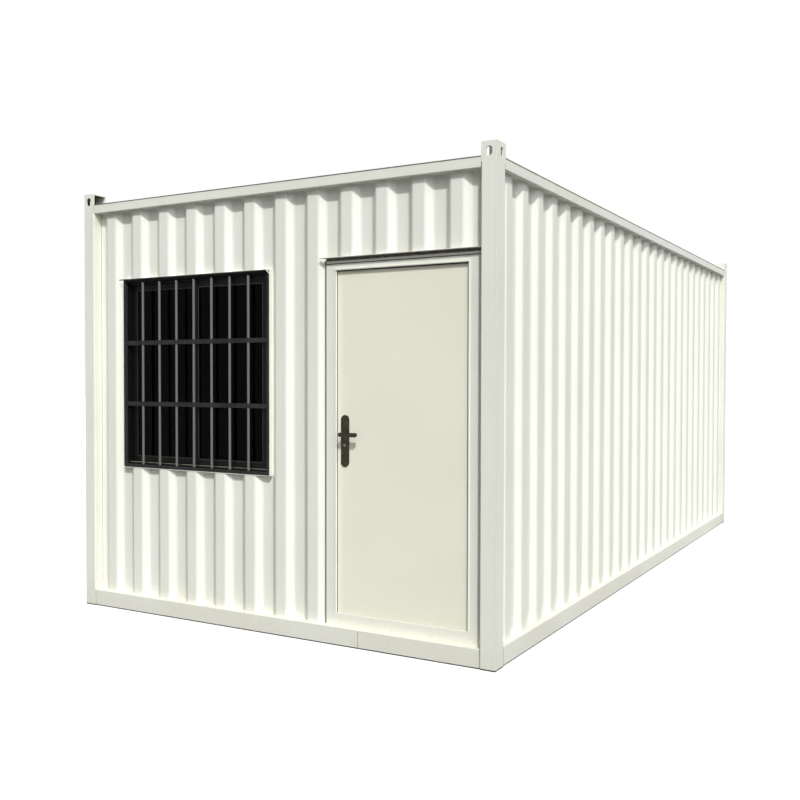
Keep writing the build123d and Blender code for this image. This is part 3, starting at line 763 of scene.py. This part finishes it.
# a bead round the door opening, and a grey strip where the frame meets the wall, painted shade of the gap there
beadValues = {
    "face": 0.009, "proud": 0.008, "jambProud": 0.004, "ease": 0.002, "back": 0.001,
    "gapShadeWide": 0.0085, "gapShadeProud": 0.0008, "gapShadeUp": 0.002, "gapShadeEase": 0.0004,
}
openLow = (leafLow[0] + sealValues["lap"], headLow[1] - beadValues["proud"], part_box("door_sill")[1][2])
openHigh = (leafHigh[0] - sealValues["lap"], headLow[1] + beadValues["back"], headLow[2])
face, ease = beadValues["face"], beadValues["ease"]
beadLeft, beadRight = openLow[0] - face, openHigh[0] + face
jambFront = headLow[1] - beadValues["jambProud"]
bm = bmesh.new()
softBar(bm, (beadLeft, openLow[1], openHigh[2]), (beadRight, openHigh[1], openHigh[2] + face), ease)
softBar(bm, (beadLeft, jambFront, openLow[2]), (openLow[0], openHigh[1], openHigh[2]), ease)
softBar(bm, (openHigh[0], jambFront, openLow[2]), (beadRight, openHigh[1], openHigh[2]), ease)
makePiece("openingBead", bm, steelLook, "house")
# painted shade: a grey strip along the left jamb's outer edge stands in for the shaded gap between frame and wall
bm = bmesh.new()
jambEdge, _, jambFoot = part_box("door_jamb_left")[0]
softBar(
    bm, (jambEdge, headLow[1] - beadValues["gapShadeProud"], jambFoot + beadValues["gapShadeUp"]),
    (jambEdge + beadValues["gapShadeWide"], headLow[1] + beadValues["back"], headHigh[2]), beadValues["gapShadeEase"],
)
makePiece("frameGapShade", bm, sealantAndGapShadeLook, "house")

# the lower track of the window: a plated strip laid along the sill as a painted highlight of its lit ledge
trackValues = {"up": 0.0105, "high": 0.005, "proud": 0.001, "back": 0.001, "side": 0.022, "ease": 0.0004}
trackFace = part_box("window_frame")[0][1]
trackFoot = rimUp[0] + trackValues["up"]
bm = bmesh.new()
softBar(
    bm, (windowLow[0] + trackValues["side"], trackFace - trackValues["proud"], trackFoot),
    (windowHigh[0] - trackValues["side"], trackFace + trackValues["back"], trackFoot + trackValues["high"]),
    trackValues["ease"],
)
makePiece("windowTrackHighlight", bm, keySteelAndTrackHighlightLook, "house")

# filler rounding the window's upper right corner
filletValues = {"radius": 0.024, "proud": 0.0015, "deep": 0.0008, "steps": 8}
bm = bmesh.new()
corner = Vector((grilleHigh[0], windowLow[1] - filletValues["proud"], grilleHigh[2]))
middle = corner - Vector((filletValues["radius"], 0, filletValues["radius"]))
tip = bm.verts.new(middle + Vector((filletValues["radius"], 0, 0)))
bmesh.ops.spin(
    bm, geom=[tip], cent=middle, axis=(0, -1, 0), angle=radians(90),
    steps=filletValues["steps"], use_merge=False,
)
bm.verts.new(corner)
bmesh.ops.contextual_create(bm, geom=bm.verts[:])
drawn = bmesh.ops.extrude_face_region(bm, geom=bm.faces[:])["geom"]
bmesh.ops.translate(bm, verts=vertsOf(drawn), vec=(0, filletValues["proud"] + filletValues["deep"], 0))
makePiece("cornerFiller", bm, steelLook, "house")

# slotted screws in the lock plates and the hinge leaves
screwValues = {
    "plateReach": 0.128, "hinges": 3, "hingeEnd": 0.260, "hingeOut": 0.025, "hingeRows": (0.013, 0.037),
    "leafGauge": 0.003,
}
outwards = Matrix.Rotation(radians(90), 4, "X")
inwards = Matrix.Rotation(radians(-90), 4, "X")
plateLow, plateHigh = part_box("lock_plates")
plateX = (plateLow[0] + plateHigh[0]) / 2
plateZ = (plateLow[2] + plateHigh[2]) / 2
bm = bmesh.new()
slant = screwShape["firstTurn"]
for face, side in ((plateLow[1], outwards), (plateHigh[1], inwards)):
    for reach in (-screwValues["plateReach"], screwValues["plateReach"]):
        slant += screwShape["turn"]
        spot = Matrix.Translation((plateX, face, plateZ + reach))
        screwHead(bm, spot @ side @ Matrix.Rotation(radians(slant), 4, "Z"))
makePiece("lockScrews", bm, bronzeLook, "door")

hingeX = (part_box("hinge_frame_leaves")[0][0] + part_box("hinge_door_leaves")[1][0]) / 2
hingeFace = leafHigh[1] + screwValues["leafGauge"]
hingeSpan = leafHigh[2] - leafLow[2] - 2 * screwValues["hingeEnd"]
for name, body, way in (("jambHingeScrews", "house", (1, -1)), ("leafHingeScrews", "door", (-1, 1))):
    bm = bmesh.new()
    for hinge in range(screwValues["hinges"]):
        level = leafLow[2] + screwValues["hingeEnd"] + hinge * hingeSpan / (screwValues["hinges"] - 1)
        for row in screwValues["hingeRows"]:
            slant += screwShape["turn"]
            spot = (hingeX + way[0] * screwValues["hingeOut"], hingeFace, level + way[1] * row)
            screwHead(bm, Matrix.Translation(spot) @ inwards @ Matrix.Rotation(radians(slant), 4, "Z"))
    makePiece(name, bm, keySteelAndTrackHighlightLook, body)

# the turning plug in each end of the key cylinder, with its slot drawn as a black bar, painted shade for the keyway
plugValues = {
    "profile": [(0.0, 0.0006), (0.0050, 0.0006), (0.0055, 0.0002), (0.0055, -0.0004)],
    "slotHalf": (0.0007, 0.0038), "slotProud": 0.0009, "slotEase": 0.0002,
}
keyLow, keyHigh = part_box("key_cylinder")
keyX, keyZ = (keyLow[0] + keyHigh[0]) / 2, (keyLow[2] + keyHigh[2]) / 2
plugs, slotShades = bmesh.new(), bmesh.new()
for face, side, away in ((keyLow[1], outwards, -1), (keyHigh[1], inwards, 1)):
    turned(plugs, plugValues["profile"], Matrix.Translation((keyX, face, keyZ)) @ side)
    halfX, halfZ = plugValues["slotHalf"]
    near, far = sorted((face, face + away * plugValues["slotProud"]))
    low, high = (keyX - halfX, near, keyZ - halfZ), (keyX + halfX, far, keyZ + halfZ)
    softBar(slotShades, low, high, plugValues["slotEase"])
makePiece("keyPlugs", plugs, keySteelAndTrackHighlightLook, "door")
makePiece("keySlotShades", slotShades, rubberAndSlotShadeLook, "door")

# lock case edge with its latch and bolt on the leaf, and the strike on the jamb
strikeValues = {
    "half": 0.011, "reach": 0.115, "proud": 0.0009, "seat": 0.001, "ease": 0.0004,
    "latch": (0.022, 0.054), "bolt": (-0.058, -0.022), "boltHalf": 0.006, "screwReach": 0.102, "screwIn": 0.0012,
    "gap": 0.007, "holeHalf": 0.007, "plateHalf": 0.012, "plateSeat": 0.0006,
}
edgeX = leafLow[0]
edgeY = (leafLow[1] + leafHigh[1]) / 2
edgeFoot, edgeTop = plateZ - strikeValues["reach"], plateZ + strikeValues["reach"]
ease, half = strikeValues["ease"], strikeValues["boltHalf"]
bm = bmesh.new()
softBar(
    bm, (edgeX - strikeValues["proud"], edgeY - strikeValues["half"], edgeFoot),
    (edgeX + strikeValues["seat"], edgeY + strikeValues["half"], edgeTop), ease,
)
for low, high in (strikeValues["latch"], strikeValues["bolt"]):
    boltTip = edgeX - strikeValues["proud"] * 2
    softBar(bm, (boltTip, edgeY - half, plateZ + low), (edgeX, edgeY + half, plateZ + high), ease)
sideways = Matrix.Rotation(radians(-90), 4, "Y")
for reach in (-strikeValues["screwReach"], strikeValues["screwReach"]):
    slant += screwShape["turn"]
    spot = Matrix.Translation((edgeX - strikeValues["proud"] + strikeValues["screwIn"], edgeY, plateZ + reach))
    screwHead(bm, spot @ sideways @ Matrix.Rotation(radians(slant), 4, "Z"))
makePiece("lockCaseEdge", bm, keySteelAndTrackHighlightLook, "door")

jambX = edgeX - strikeValues["gap"]
strikeBack, strikeFace = jambX - strikeValues["plateSeat"], jambX + strikeValues["proud"]
half, wide = strikeValues["holeHalf"], strikeValues["plateHalf"]
bm = bmesh.new()
levels = [-strikeValues["reach"], *strikeValues["bolt"], *strikeValues["latch"], strikeValues["reach"]]
for low, high in zip(levels[::2], levels[1::2]):
    softBar(bm, (strikeBack, edgeY - half, plateZ + low), (strikeFace, edgeY + half, plateZ + high), ease)
for near, far in ((-wide, -half), (half, wide)):
    softBar(bm, (strikeBack, edgeY + near, edgeFoot), (strikeFace, edgeY + far, edgeTop), ease)
makePiece("strikePlate", bm, keySteelAndTrackHighlightLook, "house")

# rubber round the panes, outside and inside, and the catch where the sashes meet
gasketValues = {
    "sashFace": 0.036, "overlap": 0.040, "sashDepth": 0.016, "glass": 0.005, "face": 0.005,
    "clear": 0.001, "ease": 0.001,
}
sashLow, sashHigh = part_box("window_sashes")
meet = (sashLow[0] + sashHigh[0]) / 2
inset = gasketValues["sashFace"]
bm = bmesh.new()
for left, right, front in (
    (sashLow[0], meet + gasketValues["overlap"] / 2, sashHigh[1] - gasketValues["sashDepth"]),
    (meet - gasketValues["overlap"] / 2, sashHigh[0], sashLow[1]),
):
    bed = (gasketValues["sashDepth"] - gasketValues["glass"]) / 2
    for near in (front, front + gasketValues["sashDepth"] - bed):
        softFrame(
            bm, (left + inset, near + gasketValues["clear"], sashLow[2] + inset),
            (right - inset, near + bed - gasketValues["clear"], sashHigh[2] - inset),
            gasketValues["face"], gasketValues["ease"],
        )
makePiece("glazingRubber", bm, rubberAndSlotShadeLook, "house")

catchValues = {
    "plate": (0.009, 0.004, 0.034), "plateEase": 0.0012,
    "boss": [(0.0, 0.011), (0.007, 0.011), (0.009, 0.009), (0.010, 0.0)],
    "arm": 0.046, "armHalf": 0.005, "armThick": 0.005, "armEase": 0.0016, "armOut": 0.008, "slope": 35,
}
catchX = meet + gasketValues["overlap"] / 2 - gasketValues["sashFace"] / 2
catchZ = (sashLow[2] + sashHigh[2]) / 2
halfX, thick, halfZ = catchValues["plate"]
catchFace = sashHigh[1] + thick
bm = bmesh.new()
softBar(
    bm, (catchX - halfX, sashHigh[1], catchZ - halfZ), (catchX + halfX, catchFace, catchZ + halfZ),
    catchValues["plateEase"],
)
turned(bm, catchValues["boss"], Matrix.Translation((catchX, catchFace, catchZ)) @ inwards)
arm = bmesh.new()
half = catchValues["armHalf"]
softBar(arm, (-half, 0.0, 0.0), (half, catchValues["armThick"], catchValues["arm"]), catchValues["armEase"])
turn = Matrix.Rotation(radians(catchValues["slope"]), 4, "Y")
setIn(bm, arm, Matrix.Translation((catchX, catchFace + catchValues["armOut"], catchZ)) @ turn)
makePiece("sashCatch", bm, keySteelAndTrackHighlightLook, "house")

# inside: skirting, a cove under the ceiling, strips over the joints of the boards and round the window
trimValues = {
    "roomLow": (-1.411, -2.911, 0.123), "roomHigh": (1.411, 2.911, 2.601), "boardGauge": 0.009,
    "skirting": (0.010, 0.080), "doorClear": 0.1, "cove": 0.018, "strip": (0.030, 0.004), "jointHalf": 0.0015,
    "sideBoards": 5, "backBoards": 3, "ease": 0.0015, "coveEase": 0.006,
}
roomLow, roomHigh = Vector(trimValues["roomLow"]), Vector(trimValues["roomHigh"])
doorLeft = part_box("door_jamb_left")[0][0]
thick, high = trimValues["skirting"]
cove, ease = trimValues["cove"], trimValues["ease"]
foot, head = roomLow.z + high, roomHigh.z - cove
bm = bmesh.new()
for low, top in (
    ((roomLow.x, roomLow.y), (roomLow.x + thick, roomHigh.y)),
    ((roomHigh.x - thick, roomLow.y + trimValues["doorClear"]), (roomHigh.x, roomHigh.y)),
    ((roomLow.x + thick, roomHigh.y - thick), (roomHigh.x - thick, roomHigh.y)),
    ((roomLow.x + thick, roomLow.y), (doorLeft, roomLow.y + thick)),
):
    softBar(bm, (*low, roomLow.z), (*top, foot), ease)
for low, top in (
    ((roomLow.x, roomLow.y), (roomLow.x + cove, roomHigh.y)),
    ((roomHigh.x - cove, roomLow.y), (roomHigh.x, roomHigh.y)),
    ((roomLow.x + cove, roomHigh.y - cove), (roomHigh.x - cove, roomHigh.y)),
    ((roomLow.x + cove, roomLow.y), (roomHigh.x - cove, roomLow.y + cove)),
):
    softBar(bm, (*low, head), (*top, roomHigh.z), trimValues["coveEase"])
width, proud = trimValues["strip"]
boardEnd = roomHigh.y + trimValues["boardGauge"]
sidePitch = (2 * boardEnd + 2 * trimValues["jointHalf"]) / trimValues["sideBoards"]
for step in range(1, trimValues["sideBoards"]):
    y = -boardEnd + step * sidePitch - trimValues["jointHalf"]
    near, far = y - width / 2, y + width / 2
    softBar(bm, (roomLow.x, near, foot), (roomLow.x + proud, far, head), ease)
    softBar(bm, (roomHigh.x - proud, near, foot), (roomHigh.x, far, head), ease)
    softBar(bm, (roomLow.x + cove, near, roomHigh.z - proud), (roomHigh.x - cove, far, roomHigh.z), ease)
backPitch = (2 * roomHigh.x + 2 * trimValues["jointHalf"]) / trimValues["backBoards"]
for step in range(1, trimValues["backBoards"]):
    x = roomLow.x + step * backPitch - trimValues["jointHalf"]
    softBar(bm, (x - width / 2, roomHigh.y - proud, foot), (x + width / 2, roomHigh.y, head), ease)
softFrame(
    bm, (windowLow[0] - width, roomLow.y, windowLow[2] - width),
    (windowHigh[0] + width, roomLow.y + proud, windowHigh[2] + width), width, ease,
)
makePiece("roomTrim", bm, boardLook, "house")

# welded joints across the roof, between the ribs
seamValues = {"lines": (-1.38, 0.0, 1.38), "inset": 0.09, "up": 0.002, "radius": 0.0022, "pitch": 0.012}
roofLow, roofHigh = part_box("roof_sheet")
roofTop = roofLow[2] + seamValues["up"]
bm = bmesh.new()
for y in seamValues["lines"]:
    rippledBead(
        bm, (roofLow[0] + seamValues["inset"], y, roofTop), (roofHigh[0] - seamValues["inset"], y, roofTop),
        seamValues["radius"], seamValues["pitch"],
    )
makePiece("roofSeams", bm, weldAndRecessShadeLook, "house")
print("extra pieces made")

# floor and light
floorValues = {"size": 60.0, "bounce": 0.12, "seen": 1.0, "lift": 0.6, "glow": 1.25}
bm = bmesh.new()
bmesh.ops.create_grid(bm, x_segments=1, y_segments=1, size=floorValues["size"])
floorMesh = bpy.data.meshes.new("floor")
bm.to_mesh(floorMesh)
bm.free()
floor = bpy.data.objects.new("floor", floorMesh)
bpy.context.scene.collection.objects.link(floor)
floorLook = Look("floorPale")
floorTree = floorLook.tree
seen = 0.0
for ray in ("Is Camera Ray", "Is Glossy Ray", "Is Transmission Ray"):
    seen = seen + floorLook.node("ShaderNodeLightPath", {}, {}, ray)
pale = floorLook.node("ShaderNodeBsdfDiffuse", {}, {"Color": (floorValues["seen"],) * 3 + (1.0,)})
dim = floorLook.node("ShaderNodeBsdfDiffuse", {}, {"Color": (floorValues["bounce"],) * 3 + (1.0,)})
white = (1.0, 1.0, 1.0, 1.0)
glow = floorLook.node("ShaderNodeEmission", {}, {"Color": white, "Strength": floorValues["glow"]})
lifted = floorLook.node("ShaderNodeMixShader", {}, {0: floorValues["lift"], 1: pale, 2: glow})
both = floorLook.node("ShaderNodeMixShader", {}, {0: seen, 1: dim, 2: lifted})
floorTree.links.new(both.socket, floorTree.nodes["Material Output"].inputs["Surface"])
floorMesh.materials.append(floorLook.material)

lightValues = {
    "sun": 2.35, "softness": 1.5, "towards": (0.441, -0.558, 0.703),
    "fill": 1.74, "fillSoftness": 55.0, "fillTowards": (0.62, -0.54, 0.571), "sky": 0.06,
    "rear": 2.0, "rearSoftness": 14.0, "rearTowards": (-0.64, 0.755, 0.14),
}
for name, strength, softness, towards in (
    ("sun", lightValues["sun"], lightValues["softness"], lightValues["towards"]),
    ("fill", lightValues["fill"], lightValues["fillSoftness"], lightValues["fillTowards"]),
    ("rear", lightValues["rear"], lightValues["rearSoftness"], lightValues["rearTowards"]),
):
    lamp = bpy.data.lights.new(name, "SUN")
    lamp.energy = strength
    lamp.angle = radians(softness)
    lampObject = bpy.data.objects.new(name, lamp)
    lampObject.rotation_euler = Vector(towards).to_track_quat("Z", "Y").to_euler()
    bpy.context.scene.collection.objects.link(lampObject)

world = bpy.data.worlds.new("studio")
world.use_nodes = True
bpy.context.scene.world = world
sky = world.node_tree.nodes["Background"]
path = world.node_tree.nodes.new("ShaderNodeLightPath")
level = world.node_tree.nodes.new("ShaderNodeMapRange")
level.inputs["To Min"].default_value = lightValues["sky"]
level.inputs["To Max"].default_value = 1.0
seen = path.outputs["Is Camera Ray"]
for ray in ("Is Glossy Ray", "Is Transmission Ray"):
    total = world.node_tree.nodes.new("ShaderNodeMath")
    world.node_tree.links.new(seen, total.inputs[0])
    world.node_tree.links.new(path.outputs[ray], total.inputs[1])
    seen = total.outputs[0]
world.node_tree.links.new(seen, level.inputs["Value"])
world.node_tree.links.new(level.outputs["Result"], sky.inputs["Strength"])
sky.inputs["Color"].default_value = white

cameraValues = {
    "place": (3.4764, -7.4604, 1.5123), "yaw": 29.706, "pitch": -1.238, "roll": 0.104, "lens": 42.55, "sensor": 36.0,
}
lens = bpy.data.cameras.new("camera")
lens.lens = cameraValues["lens"]
lens.sensor_width = cameraValues["sensor"]
camera = bpy.data.objects.new("camera", lens)
turn = Matrix.Rotation(radians(cameraValues["yaw"]), 4, "Z")
turn = turn @ Matrix.Rotation(radians(90 + cameraValues["pitch"]), 4, "X")
turn = turn @ Matrix.Rotation(radians(cameraValues["roll"]), 4, "Z")
camera.matrix_world = Matrix.Translation(cameraValues["place"]) @ turn
bpy.context.scene.collection.objects.link(camera)
bpy.context.scene.camera = camera
bpy.context.scene.view_settings.view_transform = "Standard"
print("stage set")
